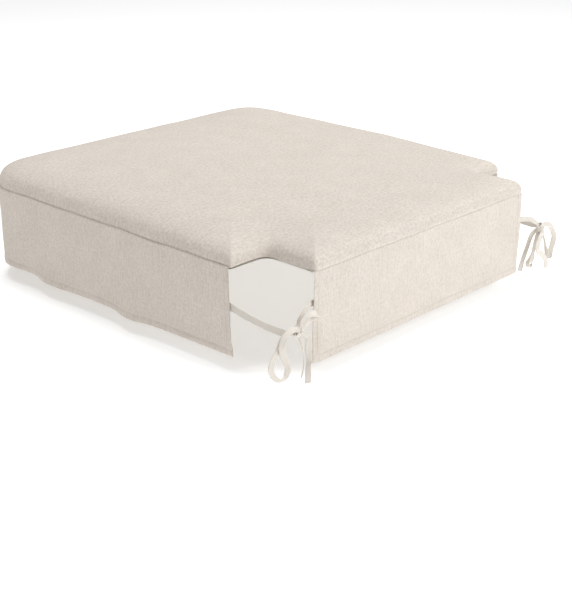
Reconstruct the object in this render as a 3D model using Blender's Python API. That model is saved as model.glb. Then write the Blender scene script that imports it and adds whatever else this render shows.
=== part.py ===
# Seat pad for a dining chair: foam core, wadding, fitted cover with skirts,
# notched at the rear for the back posts and tied round them with four tapes.
# Row frame: metres, +Z up, front of the seat at -Y, z = 0 on the pad's underside.
# "left" is the sitter's left, +X.
import math

import bmesh
import bpy
import numpy as np
from mathutils import Vector

MM = 0.001
HALF_WIDTH = 0.2247        # skirt's outer face, either side
FRONT = 0.2545             # front edge, towards -Y
REAR = 0.2340              # rear seam
NOTCH_X = 0.1752           # inner side of the post notch
NOTCH_Y = 0.1700           # front wall of the post notch
CORNER_R = 0.060           # front corners in plan
NOTCH_OUT_R = 0.003        # pad corner beside the notch
NOTCH_IN_R = 0.010         # inner corner of the notch
TONGUE_R = 0.004           # rear corners of the tongue
TONGUE_THIN = 0.22         # share of its height the pad loses towards the rear
TONGUE_FLUSH = 0.0033      # how much further out the tongue's edge stands than the sides

CLOTH = 0.0008             # one layer of cover cloth
LAYER_GAP = 0.0004         # clearance between layers
WADDING = 0.0030           # wadding thickness over the foam
SEAM_ALLOWANCE = 0.0100    # turned-in cloth at the pad seam

SKIRT_DROP = 0.0945        # seam to hem edge
SKIRT_CLOTH = 0.0009
HEM_CLOTH = 0.0020         # double-turned hem
HEM_DEPTH = 0.0085
SLIT_Y = 0.1670            # rear end of the side skirt
SLIT_HEM = 0.008           # narrow hem at each vertical edge
BACK_HALF_TOP = 0.1755     # half width of the back skirt at the seam
BACK_HALF_HEM = 0.1757     # and at its hem

TAPE_WIDTH = 0.0084        # self-fabric tie tape, lying open round the post
BOW_WIDTH = 0.0062         # the same tape, gathered narrower at the bows
TAPE_THICK = 0.0010
TAPE_NECK = 0.0038         # tape gathered at a knot
THREAD_WIDTH = 0.0006
THREAD_THICK = 0.0004

# (inset from the skirt's face, height) of the cover's outer face, seam to crown
PAD_PROFILE = [
    (0.0036, 0.0034), (0.0031, 0.0060), (0.0029, 0.0090), (0.0033, 0.0125), (0.0052, 0.0162),
    (0.0092, 0.0200), (0.0165, 0.0236), (0.0285, 0.0266), (0.0500, 0.0292), (0.0900, 0.0316),
    (0.1400, 0.0332),
]

LINEN = ("cover_linen", (0.80, 0.765, 0.71, 1.0), 0.92)
SKIRT = ("skirt_linen", (0.79, 0.755, 0.70, 1.0), 0.92)
CALICO = ("lining_calico", (0.84, 0.81, 0.76, 1.0), 0.90)
FOAM = ("foam", (0.90, 0.86, 0.68, 1.0), 0.95)
FLEECE = ("wadding", (0.93, 0.93, 0.92, 1.0), 0.98)
TAPE = ("tie_tape", (0.90, 0.87, 0.82, 1.0), 0.88)
THREAD = ("thread", (0.86, 0.83, 0.77, 1.0), 0.70)


def clear_scene():
    for ob in list(bpy.data.objects):
        bpy.data.objects.remove(ob, do_unlink=True)


def material(spec):
    name, colour, rough = spec
    mat = bpy.data.materials.get(name)
    if mat is None:
        mat = bpy.data.materials.new(name)
        mat.use_nodes = True
        bsdf = mat.node_tree.nodes["Principled BSDF"]
        bsdf.inputs["Base Color"].default_value = colour
        bsdf.inputs["Roughness"].default_value = rough
    return mat


def add_object(name, verts, faces, spec, smooth_angle=40.0):
    mesh = bpy.data.meshes.new(name)
    mesh.from_pydata([tuple(v) for v in verts], [], faces)
    bm = bmesh.new()
    bm.from_mesh(mesh)
    bmesh.ops.recalc_face_normals(bm, faces=bm.faces)
    bmesh.ops.triangulate(bm, faces=bm.faces)
    bm.to_mesh(mesh)
    bm.free()
    mesh.materials.append(material(spec))
    mesh.shade_smooth()
    mesh.set_sharp_from_angle(angle=math.radians(smooth_angle))
    ob = bpy.data.objects.new(name, mesh)
    bpy.context.scene.collection.objects.link(ob)
    return ob


# ---- plan outline -----------------------------------------------------------

def arc(cx, cy, r, start, end, count):
    angles = np.radians(np.linspace(start, end, count))
    return [(cx + r * math.cos(a), cy + r * math.sin(a)) for a in angles]


def half_outline(inset):
    """The pad outline's +X half, from the front to the rear."""
    x, front = HALF_WIDTH - inset, -(FRONT - inset)
    notch_x, notch_y, rear = NOTCH_X - inset, NOTCH_Y - inset, REAR - inset
    r_front = max(CORNER_R - inset, 0.004)
    r_side = max(NOTCH_OUT_R - inset, 0.0015)
    r_in = min(NOTCH_IN_R + inset, 0.032)
    r_rear = max(TONGUE_R - inset, 0.0015)
    pts = arc(x - r_front, front + r_front, r_front, -90, 0, 9)
    side_from, side_to = front + r_front, notch_y - r_side
    pts += [(x, side_from + (side_to - side_from) * k / 5) for k in range(1, 5)]
    pts += arc(x - r_side, notch_y - r_side, r_side, 0, 90, 4)
    pts += arc(notch_x + r_in, notch_y + r_in, r_in, 270, 180, 4)
    pts += arc(notch_x - r_rear, rear - r_rear, r_rear, 0, 90, 4)
    return pts


def outline(inset):
    half = half_outline(inset)
    rear_x = half[-1][0]
    rear = [(rear_x * k, half[-1][1]) for k in (0.5, 0.0, -0.5)]
    front = [(half[0][0] * k, half[0][1]) for k in (-0.5, 0.0, 0.5)]
    mirrored = [(-x, y) for x, y in reversed(half)]
    return half + rear + mirrored + front


def pad_ring(inset, height):
    """One ring of the pad: set in at the sides, flush at the rear tongue, lower to the rear."""
    ring = []
    for (x, y), (flush_x, flush_y) in zip(outline(inset), outline(inset - TONGUE_FLUSH)):
        share = ease(y, 0.172, 0.190)
        x += (flush_x - x) * share
        y += (flush_y - y) * share
        low = TONGUE_THIN * ease(y, 0.0, 0.200) * max(height - 0.0046, 0.0)
        ring.append((x, y, height - low))
    return ring


def ease(value, low, high):
    """Smooth change from 0 at low to 1 at high."""
    t = min(max((value - low) / (high - low), 0.0), 1.0)
    return t * t * (3 - 2 * t)


def loft_rings(name, rings, spec):
    """Closed solid from rings of points with its two ends capped."""
    verts = [point for ring in rings for point in ring]
    n = len(verts) // len(rings)
    faces = []
    for a in range(len(rings) - 1):
        for i in range(n):
            j = (i + 1) % n
            faces.append((a * n + i, a * n + j, a * n + n + j, a * n + n + i))
    faces.append(tuple(range(n)))
    faces.append(tuple(range((len(rings) - 1) * n, len(rings) * n)))
    return add_object(name, verts, faces, spec)


def offset_profile(depth, lowest):
    """The pad profile moved inwards by depth, kept above a lowest height."""
    pts = np.array(PAD_PROFILE)
    out = []
    for k, point in enumerate(pts):
        a = pts[max(k - 1, 0)]
        b = pts[min(k + 1, len(pts) - 1)]
        run = b - a
        normal = np.array([run[1], -run[0]]) / np.hypot(*run)
        inset, height = point + normal * depth
        if height > lowest + 0.0012:
            out.append((float(inset), float(height)))
    start = float(pts[0][0]) + depth
    return [(start, lowest)] + out


def build_pad():
    outer = [(SEAM_ALLOWANCE + 0.001, 0.0022), (0.0046, 0.0022), (0.0039, 0.0026)] + PAD_PROFILE
    inner = offset_profile(CLOTH, 0.0036)
    inner[0] = (0.0047, 0.0036)
    flange = [(0.0056, 0.0030), (SEAM_ALLOWANCE + 0.001, 0.0030)]
    shell("top_cover", outer + inner[::-1] + flange, len(outer), LINEN)
    gap = CLOTH + LAYER_GAP
    wad_out = offset_profile(gap, 0.0046)
    wad_in = offset_profile(gap + WADDING, 0.0046)
    shell("wadding_wrap", wad_out + wad_in[::-1], len(wad_out), FLEECE)
    core = offset_profile(gap + WADDING + LAYER_GAP, 0.0046)
    section = [(0.0165, 0.0012), (0.0135, 0.0046)] + core
    loft_rings("foam_pad", [pad_ring(inset, height) for inset, height in section], FOAM)


def shell(name, rings, crown, spec):
    """Closed shell from rings round its section, capped on its two crown rings."""
    verts = [point for inset, height in rings for point in pad_ring(inset, height)]
    n = len(verts) // len(rings)
    faces = []
    for a in range(len(rings)):
        b = (a + 1) % len(rings)
        if a == crown - 1:
            continue
        for i in range(n):
            j = (i + 1) % n
            faces.append((a * n + i, a * n + j, b * n + j, b * n + i))
    faces.append(tuple(range((crown - 1) * n, crown * n)))
    faces.append(tuple(range(crown * n, (crown + 1) * n)))
    return add_object(name, verts, faces, spec)


def build_lining():
    rings = [[(x, y, z) for x, y in outline(0.0015)] for z in (0.0, CLOTH)]
    loft_rings("underside_lining", rings, CALICO)


# ---- skirts -----------------------------------------------------------------

def skirt_path(inset):
    """Plan path of the side skirt, slit to slit round the front."""
    x, front, r = HALF_WIDTH - inset, -(FRONT - inset), CORNER_R - inset
    side_from = front + r
    stops = [SLIT_Y, SLIT_Y - SLIT_HEM, SLIT_Y - SLIT_HEM - 0.0006]
    stops += [0.11, 0.06, 0.0, -0.06, -0.12]
    half = [(x, y) for y in stops]
    half += arc(x - r, side_from, r, 0, -90, 9)
    front_pts = [(k * 0.05, front) for k in (2, 1, 0, -1, -2)]
    mirrored = [(-px, py) for px, py in reversed(half)]
    return half + front_pts + mirrored


def skirt_section(in_slit_hem):
    t = HEM_CLOTH if in_slit_hem else SKIRT_CLOTH
    hem = -SKIRT_DROP + HEM_DEPTH
    return [
        (0.0, -SKIRT_DROP), (HEM_CLOTH, -SKIRT_DROP), (HEM_CLOTH, hem), (t, hem + 0.0006),
        (t, -0.0020), (SKIRT_CLOTH, -0.0012), (SKIRT_CLOTH, 0.0006), (0.0013, 0.0011),
        (SEAM_ALLOWANCE, 0.0011), (SEAM_ALLOWANCE, 0.0019), (0.0006, 0.0019), (0.0, 0.0012),
        (0.0, -0.045),
    ]


def build_side_skirt():
    count = len(skirt_path(0.0))
    sections = []
    for k in range(count):
        in_slit = k < 2 or k > count - 3
        sections.append(skirt_section(in_slit))
    verts = []
    for k, section in enumerate(sections):
        for inset, z in section:
            x, y = skirt_path(inset)[k]
            verts.append((x, y, z))
    m = len(sections[0])
    faces = [tuple(range(m)), tuple(range((count - 1) * m, count * m))]
    for k in range(count - 1):
        for i in range(m):
            j = (i + 1) % m
            faces.append((k * m + i, k * m + j, (k + 1) * m + j, (k + 1) * m + i))
    add_object("side_skirt", verts, faces, SKIRT, 30.0)


def build_back_skirt():
    """Free-hanging back skirt: flat outside, thicker hems on the inside."""
    top, hem = -0.0007, -SKIRT_DROP + HEM_DEPTH
    rows = [top, -0.024, -0.048, -0.070, hem + 0.0006, hem, -SKIRT_DROP]
    verts = []
    cols = [1.0, 0.9545, 0.951, 0.5, 0.0, -0.5, -0.951, -0.9545, -1.0]
    for z in rows:
        share = (top - z) / (top + SKIRT_DROP)
        half = BACK_HALF_TOP + (BACK_HALF_HEM - BACK_HALF_TOP) * share
        for c in cols:
            verts.append((c * half, REAR, z))
    for z in rows:
        share = (top - z) / (top + SKIRT_DROP)
        half = BACK_HALF_TOP + (BACK_HALF_HEM - BACK_HALF_TOP) * share
        for c in cols:
            thick = HEM_CLOTH if abs(c) > 0.953 or z < hem + 0.0001 else SKIRT_CLOTH
            verts.append((c * half, REAR - thick, z))
    add_object("back_skirt", verts, slab_faces(len(rows), len(cols)), SKIRT, 30.0)


def slab_faces(rows, cols):
    """Faces of a closed slab made from two matching grids of points."""
    base = rows * cols
    faces = []
    for r in range(rows - 1):
        for c in range(cols - 1):
            a, b = r * cols + c, r * cols + c + 1
            faces.append((a, b, b + cols, a + cols))
            faces.append((base + a, base + a + cols, base + b + cols, base + b))
    rim = list(range(cols))
    rim += [r * cols + cols - 1 for r in range(1, rows)]
    rim += [(rows - 1) * cols + c for c in range(cols - 2, -1, -1)]
    rim += [r * cols for r in range(rows - 2, 0, -1)]
    for k, a in enumerate(rim):
        b = rim[(k + 1) % len(rim)]
        faces.append((a, base + a, base + b, b))
    return faces


# ---- tapes, knots and threads ----------------------------------------------

def smooth_route(route, count):
    """Catmull-Rom spline through the route points, evenly respaced."""
    pts = [Vector(p) for p in route]
    ends = [pts[0] * 2 - pts[1]] + pts + [pts[-1] * 2 - pts[-2]]
    dense = []
    for k in range(1, len(ends) - 2):
        p0, p1, p2, p3 = ends[k - 1:k + 3]
        for s in range(12):
            t = s / 12
            a = p1 * 2
            b = (p2 - p0) * t
            c = (p0 * 2 - p1 * 5 + p2 * 4 - p3) * t * t
            d = (p3 - p0 + p1 * 3 - p2 * 3) * t ** 3
            dense.append((a + b + c + d) * 0.5)
    dense.append(pts[-1])
    steps = [0.0]
    for a, b in zip(dense, dense[1:]):
        steps.append(steps[-1] + (b - a).length)
    wanted = np.linspace(0.0, steps[-1], count)
    xyz = np.array([tuple(p) for p in dense])
    return [Vector([np.interp(w, steps, xyz[:, i]) for i in range(3)]) for w in wanted]


def face_at(faces, share):
    """Tape facing direction at a share of its length, from (share, vector) stops."""
    stops = [f[0] for f in faces]
    return Vector([np.interp(share, stops, [f[1][i] for f in faces]) for i in range(3)])


def tape(name, route_mm, faces, necks, width, spec=TAPE, thick=TAPE_THICK, count=26):
    """Flat tape along a route; necks says which ends narrow into a knot."""
    pts = smooth_route([Vector(p) * MM for p in route_mm], count)
    length = sum((b - a).length for a, b in zip(pts, pts[1:]))
    verts = []
    run = 0.0
    for k, p in enumerate(pts):
        if k:
            run += (p - pts[k - 1]).length
        ahead = pts[min(k + 1, count - 1)] - pts[max(k - 1, 0)]
        ahead.normalize()
        normal = face_at(faces, k / (count - 1))
        normal = (normal - ahead * normal.dot(ahead)).normalized()
        side = ahead.cross(normal)
        w = width
        if necks[0]:
            w = min(w, TAPE_NECK + run * 0.35)
        if necks[1]:
            w = min(w, TAPE_NECK + (length - run) * 0.35)
        for u, v in ((-1, -1), (1, -1), (1, 1), (-1, 1)):
            verts.append(p + side * (u * w / 2) + normal * (v * thick / 2))
    quads = [(0, 1, 2, 3), tuple(range(4 * count - 4, 4 * count))]
    for k in range(count - 1):
        for i in range(4):
            j = (i + 1) % 4
            quads.append((4 * k + i, 4 * k + j, 4 * k + 4 + j, 4 * k + 4 + i))
    return add_object(name, verts, quads, spec, 50.0)


def knot(name, centre_mm, radii_mm):
    """Pulled-tight knot: a small waisted ball of tape."""
    verts = []
    rows, cols = 9, 14
    for r in range(1, rows):
        lat = math.pi * r / rows
        for c in range(cols):
            lon = 2 * math.pi * c / cols
            swell = 1.0 - 0.10 * math.cos(3 * lon) * math.sin(lat)
            d = (math.sin(lat) * math.cos(lon), math.sin(lat) * math.sin(lon), math.cos(lat))
            verts.append([(centre_mm[i] + radii_mm[i] * swell * d[i]) * MM for i in range(3)])
    faces = [tuple(range(cols)), tuple(range((rows - 2) * cols, (rows - 1) * cols))]
    for r in range(rows - 2):
        for c in range(cols):
            d = (c + 1) % cols
            faces.append((r * cols + c, r * cols + d, (r + 1) * cols + d, (r + 1) * cols + c))
    add_object(name, verts, faces, TAPE, 60.0)


# directions that a tape's flat side faces
OUT_REAR_UP = (0.67, 0.64, 0.37)
BACKWARD = (0.0, 1.0, 0.0)
OUT_LEFT = (1.0, 0.0, 0.0)
OUT_RIGHT = (-1.0, 0.0, 0.0)

KNOTS = {
    "left_knot": ((204.8, 238.6, -47.8), (5.4, 4.6, 5.2)),
    "right_knot": ((-210.0, 239.4, -46.5), (5.2, 4.6, 5.6)),
}

# name: (route in mm, facing stops, ends narrowed)
TIES = {
    "left_side_tie": (
        [(221.6, 151, -37), (221.6, 160, -38.5), (221.2, 168, -40), (219.8, 181, -43.2),
         (218.4, 194, -46), (216.8, 209, -48.5), (215.3, 223, -49.8), (214.2, 231, -49.8),
         (211.8, 235.8, -49.6)],
        [(0.0, OUT_LEFT), (0.88, OUT_LEFT), (1.0, (0.7, 0.7, 0.0))], (False, True)),
    "right_side_tie": (
        [(-221.6, 151, -38), (-221.6, 160, -39), (-221.2, 168, -40), (-219.4, 181, -42.5),
         (-217.8, 196, -44.5), (-216.6, 211, -46), (-216.0, 224, -46.6), (-216.4, 232.6, -46.8)],
        [(0.0, OUT_RIGHT), (1.0, OUT_RIGHT)], (False, True)),
    "left_back_tie": (
        [(156.5, 231.0, -33.2), (167, 231.0, -31.6), (176, 231.1, -30.6), (183.5, 232.8, -30.4),
         (191.0, 235.0, -33.0), (196.8, 236.4, -37.4), (200.6, 237.2, -41.4)],
        [(0.0, BACKWARD), (0.6, BACKWARD), (1.0, (0.2, 0.9, 0.4))], (False, True)),
    "right_back_tie": (
        [(-158, 231.0, -30.5), (-168, 231.0, -30.5), (-178, 231.2, -31), (-185.5, 233.2, -31.6),
         (-193.5, 235.4, -33.0), (-200.5, 237.2, -36.6), (-205.6, 238.4, -40.6)],
        [(0.0, BACKWARD), (0.6, BACKWARD), (1.0, (-0.2, 0.9, 0.4))], (False, True)),
    "left_loop_hanging": (
        [(211.6, 238.2, -46.4), (217.5, 238.4, -46.2), (223.5, 238.2, -50.5), (228, 237.6, -58),
         (234.5, 236.8, -68), (238.5, 236.4, -76.5), (235.5, 236.2, -85.5), (227.8, 236.6, -93),
         (220.8, 237.4, -92.5), (217.5, 238.6, -85), (221, 239.8, -75.5), (226.8, 241, -64.2),
         (228.6, 241.8, -55), (226, 242.2, -48.2), (220, 242, -44.2), (212.0, 241.4, -43.6)],
        [(0.0, (0.3, -0.5, 0.8)), (0.2, (0.05, 0.95, 0.3)), (0.34, (0.3, 0.9, 0.0)),
         (0.46, (0.6, 0.7, -0.5)), (0.6, (0.6, 0.7, -0.3)), (0.72, OUT_REAR_UP),
         (1.0, (0.4, 0.8, 0.45))],
        (True, True)),
    "left_loop_upper": (
        [(202.8, 242.6, -42.4), (200.4, 243.8, -37.2), (196.2, 244.4, -33.8), (189, 244.2, -33.6),
         (182.0, 242.8, -36.8), (180.4, 240.2, -39.8), (185.0, 238.8, -41.6), (191, 239.2, -43.0),
         (197.4, 239.6, -45.6)],
        [(0.0, (0.2, 0.9, 0.4)), (0.35, (0.1, 0.8, 0.6)), (0.5, (-0.7, 0.7, 0.1)),
         (0.6, (-0.6, -0.8, 0.0)), (0.75, (0.0, -0.9, -0.4)), (1.0, (0.1, -0.9, -0.3))],
        (True, True)),
    "left_tail_long": (
        [(199.6, 242.4, -51.8), (195.4, 244.4, -55.4), (194.8, 244.2, -62.4), (194.0, 243.2, -70.4),
         (191.4, 242.2, -81), (191.8, 241.4, -91), (190.8, 240.4, -106.8)],
        [(0.0, (0.3, 0.9, 0.3)), (0.4, OUT_REAR_UP), (0.65, (0.9, 0.2, 0.1)),
         (1.0, (0.5, 0.85, 0.1))], (True, False)),
    "left_tail_short": (
        [(203.2, 237.3, -54.4), (197.2, 235.3, -61.8), (192.4, 234.4, -72), (189.8, 233.8, -83),
         (190.4, 233.6, -94), (192.8, 233.4, -102.5)],
        [(0.0, (0.69, -0.72, 0.2)), (1.0, (0.69, -0.72, 0.0))],
        (True, False)),
    "right_loop_hanging": (
        [(-215.8, 241.6, -44.0), (-220.8, 242.4, -43.8), (-226.8, 243, -47.2), (-232.5, 243.3, -54),
         (-237.2, 243.4, -63), (-236, 243, -72), (-233.4, 242.6, -80), (-233.4, 241.9, -88),
         (-229.8, 241, -85), (-227, 240, -76), (-223.4, 239.1, -65.2), (-219.2, 238.6, -55.2),
         (-216.2, 238.6, -50.4)],
        [(0.0, (0.1, 0.8, 0.6)), (0.15, OUT_REAR_UP), (0.5, OUT_REAR_UP),
         (0.64, (0.9, 0.0, -0.5)),
         (0.75, (0.74, -0.58, -0.34)), (1.0, (0.74, -0.58, -0.34))], (True, True)),
    "right_loop_small": (
        [(-206.6, 242.0, -51.6), (-201.4, 242.8, -59), (-195.6, 242.8, -69), (-190.4, 241.8, -78.5),
         (-188.4, 240.6, -85), (-193.4, 239.0, -91.2), (-200.2, 238.0, -89.6), (-202.2, 237.8, -78.4),
         (-204.6, 237.8, -68), (-207.6, 238, -58), (-208.8, 238.4, -53.0)],
        [(0.0, (0.4, 0.8, 0.2)), (0.25, (0.74, -0.6, -0.3)), (0.42, (0.7, -0.3, -0.6)),
         (0.55, (0.1, 0.3, -0.9)), (0.7, (0.1, 0.95, 0.0)), (1.0, (0.1, 0.95, 0.1))],
        (True, True)),
    "right_tail_front": (
        [(-208.6, 244.9, -50.4), (-201.0, 246.8, -55), (-195.0, 248.0, -63), (-198.6, 247.4, -71),
         (-210.5, 245.4, -78.5), (-222, 243.4, -88), (-228, 242.0, -100.5)],
        [(0.0, (0.3, 0.9, 0.1)), (1.0, (0.3, 0.9, 0.2))], (True, False)),
    "right_tail_back": (
        [(-205.4, 236.3, -50.2), (-201.2, 234.7, -55), (-198.4, 233.9, -62), (-194.6, 233.4, -71),
         (-189, 233.3, -82), (-183.5, 233.6, -95)],
        [(0.0, (0.2, 0.9, 0.2)), (1.0, (0.3, 0.9, 0.1))], (True, False)),
}


def hem_thread_route():
    """Top-stitch row of the side skirt: up both slit hems and along the hem."""
    out = -0.0004 - THREAD_THICK / 2
    level = -SKIRT_DROP + HEM_DEPTH - 0.001
    path = skirt_path(out)
    inner = SLIT_Y - SLIT_HEM + 0.0015
    start = (path[0][0], inner)
    pts = [(start[0], inner, z) for z in (-0.008, -0.045, level + 0.004)]
    pts += [(start[0], inner - 0.004, level)]
    pts += [(x, y, level) for x, y in path[3:-3]]
    pts += [(-start[0], inner - 0.004, level)]
    pts += [(-start[0], inner, z) for z in (level + 0.004, -0.045, -0.008)]
    return pts


def sew(name, pts, normals, closed=False, width=THREAD_WIDTH, thick=THREAD_THICK):
    """Row of stitches as one strip lying on the cloth."""
    count = len(pts)
    verts = []
    for k, p in enumerate(pts):
        back = k - 1 if closed else max(k - 1, 0)
        ahead = (k + 1) % count if closed else min(k + 1, count - 1)
        along = (Vector(pts[ahead]) - Vector(pts[back])).normalized()
        normal = Vector(normals[k])
        side = along.cross(normal).normalized()
        for u, v in ((-1, -1), (1, -1), (1, 1), (-1, 1)):
            verts.append(Vector(p) + side * (u * width / 2) + normal * (v * thick / 2))
    faces = []
    for k in range(count if closed else count - 1):
        n = (k + 1) % count
        for i in range(4):
            j = (i + 1) % 4
            faces.append((4 * k + i, 4 * k + j, 4 * n + j, 4 * n + i))
    if not closed:
        faces += [(0, 1, 2, 3), tuple(range(4 * count - 4, 4 * count))]
    add_object(name, verts, faces, THREAD, 60.0)


def plan_normals(pts):
    """Outward plan direction at each point of the side skirt's thread."""
    out = []
    cy = -FRONT + CORNER_R
    cx = HALF_WIDTH - CORNER_R
    for x, y, _z in pts:
        if y >= cy:
            d = (math.copysign(1.0, x), 0.0, 0.0)
        elif abs(x) <= cx:
            d = (0.0, -1.0, 0.0)
        else:
            v = Vector((x - math.copysign(cx, x), y - cy, 0.0)).normalized()
            d = tuple(v)
        out.append(d)
    return out


def build_threads():
    pts = hem_thread_route()
    sew("side_hem_thread", pts, plan_normals(pts))
    level = -SKIRT_DROP + HEM_DEPTH - 0.001
    y = REAR + 0.0004 + THREAD_THICK / 2
    edge = BACK_HALF_HEM - SLIT_HEM + 0.0015
    top = BACK_HALF_TOP - SLIT_HEM + 0.0015
    left = [(top, y, -0.008), (edge + 0.001, y, -0.05), (edge, y, level + 0.004)]
    row = [(edge - 0.004, y, level), (0.08, y, level), (0.0, y, level)]
    half = left + row
    pts = half + [(-px, py, pz) for px, py, pz in reversed(half[:-1])]
    sew("back_hem_thread", pts, [BACKWARD] * len(pts))
    ring = [(x, y, 0.0035) for x, y, _z in pad_ring(0.0075, 0.0035)]
    sew("pad_seam_thread", ring, [(0.0, 0.0, 1.0)] * len(ring), True)


def build_tacks():
    """Bar tack that sews each tape's end to the inside of a skirt hem."""
    for side, name in ((1.0, "left"), (-1.0, "right")):
        x = side * 0.22045
        pts = [(x, 0.1560, -0.0410), (x, 0.1560, -0.0350)]
        sew(name + "_side_tack", pts, [(-side, 0.0, 0.0)] * 2, False, 0.0016, 0.0005)
        y = 0.2299
        pts = [(side * 0.1690, y, -0.0342), (side * 0.1690, y, -0.0280)]
        sew(name + "_back_tack", pts, [(0.0, -1.0, 0.0)] * 2, False, 0.0016, 0.0005)


def main():
    clear_scene()
    build_pad()
    build_lining()
    build_side_skirt()
    build_back_skirt()
    build_threads()
    for name, (route, faces, necks) in TIES.items():
        width = TAPE_WIDTH if name.endswith("side_tie") else BOW_WIDTH
        tape(name, route, faces, necks, width)
    for name, (centre, radii) in KNOTS.items():
        knot(name, centre, radii)
    build_tacks()


main()
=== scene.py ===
# Linen seat pad for a dining chair: the finished look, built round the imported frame.
# Metres, +Z up, front of the seat at -Y; z = 0 is the pad's underside and seam line.
# "left" is the sitter's left, +X. Cloth coordinates ride on each mesh as the "cloth" attribute.
import math

import bpy
import numpy as np
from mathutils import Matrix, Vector
from mathutils.kdtree import KDTree


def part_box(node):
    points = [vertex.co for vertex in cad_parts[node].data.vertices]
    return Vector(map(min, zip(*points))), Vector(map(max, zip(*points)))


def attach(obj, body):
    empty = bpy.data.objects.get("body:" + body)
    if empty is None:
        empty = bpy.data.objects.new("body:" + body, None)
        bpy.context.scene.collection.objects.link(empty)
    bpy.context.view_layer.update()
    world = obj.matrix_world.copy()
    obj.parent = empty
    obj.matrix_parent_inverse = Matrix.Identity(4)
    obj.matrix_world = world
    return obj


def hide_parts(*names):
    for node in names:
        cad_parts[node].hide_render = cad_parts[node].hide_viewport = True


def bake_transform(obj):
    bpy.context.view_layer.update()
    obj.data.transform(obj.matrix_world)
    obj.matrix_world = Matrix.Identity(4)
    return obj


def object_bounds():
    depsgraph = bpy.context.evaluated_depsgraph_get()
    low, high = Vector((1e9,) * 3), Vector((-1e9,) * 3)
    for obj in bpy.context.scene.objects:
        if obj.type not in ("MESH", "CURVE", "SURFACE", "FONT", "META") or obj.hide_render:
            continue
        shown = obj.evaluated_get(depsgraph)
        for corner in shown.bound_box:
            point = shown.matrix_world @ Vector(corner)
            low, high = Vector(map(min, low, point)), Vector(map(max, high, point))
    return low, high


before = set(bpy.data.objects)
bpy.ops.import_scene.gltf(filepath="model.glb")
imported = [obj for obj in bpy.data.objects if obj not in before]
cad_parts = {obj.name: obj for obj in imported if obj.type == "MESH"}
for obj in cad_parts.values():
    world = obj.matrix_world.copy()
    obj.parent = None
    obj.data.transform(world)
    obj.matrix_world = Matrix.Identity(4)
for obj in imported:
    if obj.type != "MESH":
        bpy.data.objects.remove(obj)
CAD_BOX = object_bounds()

# ---- sizes ------------------------------------------------------------------

MM = 0.001
SKIRT_LOW, SKIRT_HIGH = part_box("side_skirt")
BACK_LOW, BACK_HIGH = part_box("back_skirt")
HALF_WIDTH = SKIRT_HIGH.x
FRONT = -SKIRT_LOW.y
REAR = BACK_HIGH.y
DROP = -SKIRT_LOW.z
SLIT_Y = SKIRT_HIGH.y
BACK_HALF = BACK_HIGH.x

NOTCH_X = 0.1752           # inner side of the post notch
NOTCH_Y = 0.1700           # front wall of the post notch
CORNER_R = 0.060           # front corners in plan
NOTCH_OUT_R = 0.003        # pad corner beside the notch
NOTCH_IN_R = 0.010         # inner corner of the notch
TONGUE_R = 0.004           # rear corners of the tongue, the part between the posts
TONGUE_THIN = 0.22         # share of its height the pad loses towards the rear
TONGUE_FLUSH = 0.0019      # how much further out the tongue's edge stands than the sides

CLOTH = 0.00036            # one layer of cover cloth
LAYER = 0.00042            # pitch of cloth layers folded on each other
ALLOWANCE = 0.0100         # turned-in cloth at the seam
HEM = 0.0085               # depth of the turned hem
SLIT_HEM = 0.0080          # width of the turned slit edges
STITCH_UP = 0.0075         # top-stitch row above the hem edge
STITCH_IN = 0.0065         # top-stitch row in from a slit edge
TAPE_WIDTH = 0.0084        # tie tape lying open round the post
BOW_WIDTH = 0.0062         # the same tape, gathered narrower at the bows
TAPE_THICK = 0.0010
TAPE_NECK = 0.0038         # tape gathered at a knot
NECK_SPREAD = 0.35         # how fast it widens again along its length

# (inset from the skirt's face, height) of the cover's outer face, seam to crown
PAD_PROFILE = [
    (0.0020, 0.0027), (0.0016, 0.0055), (0.0018, 0.0090), (0.0028, 0.0128), (0.0049, 0.0166),
    (0.0090, 0.0203), (0.0165, 0.0236), (0.0285, 0.0266), (0.0500, 0.0292), (0.0900, 0.0316),
    (0.1400, 0.0332),
]


# ---- geometry helpers -------------------------------------------------------

def smooth(points, count, power=1.0):
    """Spline through points of any dimension, respaced by length; power > 1 packs the start."""
    pts = np.asarray(points, float)
    ends = np.vstack([pts[0] * 2 - pts[1], pts, pts[-1] * 2 - pts[-2]])
    dense = []
    for p0, p1, p2, p3 in zip(ends, ends[1:], ends[2:], ends[3:]):
        for t in np.arange(12) / 12:
            bend = (p0 * 2 - p1 * 5 + p2 * 4 - p3) * t * t + (p3 - p0 + p1 * 3 - p2 * 3) * t ** 3
            dense.append((p1 * 2 + (p2 - p0) * t + bend) / 2)
    dense = np.array(dense + [pts[-1]])
    run = lengths(dense)
    wanted = run[-1] * np.linspace(0, 1, count) ** power
    return np.stack([np.interp(wanted, run, axis) for axis in dense.T], axis=1)


def lengths(points):
    """Running length at each point of a polyline."""
    steps = np.linalg.norm(np.diff(points, axis=0), axis=1)
    return np.concatenate([[0.0], np.cumsum(steps)])


def step(value, low, high):
    """Smooth change from 0 at low to 1 at high."""
    t = np.clip((value - low) / (high - low), 0.0, 1.0)
    return t * t * (3 - 2 * t)


def hump(value, centre, width):
    """Smooth bump of height 1 that has nearly faded out one width away."""
    return np.exp(-(((value - centre) / width) ** 2) * 3)


def ripple(a, b, size, seed):
    """Smooth repeatable unevenness, about -1 to 1, over two coordinates in metres."""
    waves = 11
    rng = np.random.default_rng(seed)
    total = 0.0
    for _ in range(waves):
        turn, phase = rng.uniform(0, 2 * math.pi, 2)
        length = size * rng.uniform(0.6, 1.8)
        total = total + np.sin((a * math.cos(turn) + b * math.sin(turn)) * 2 * math.pi / length + phase)
    return total / (1.5 * math.sqrt(waves))


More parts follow.
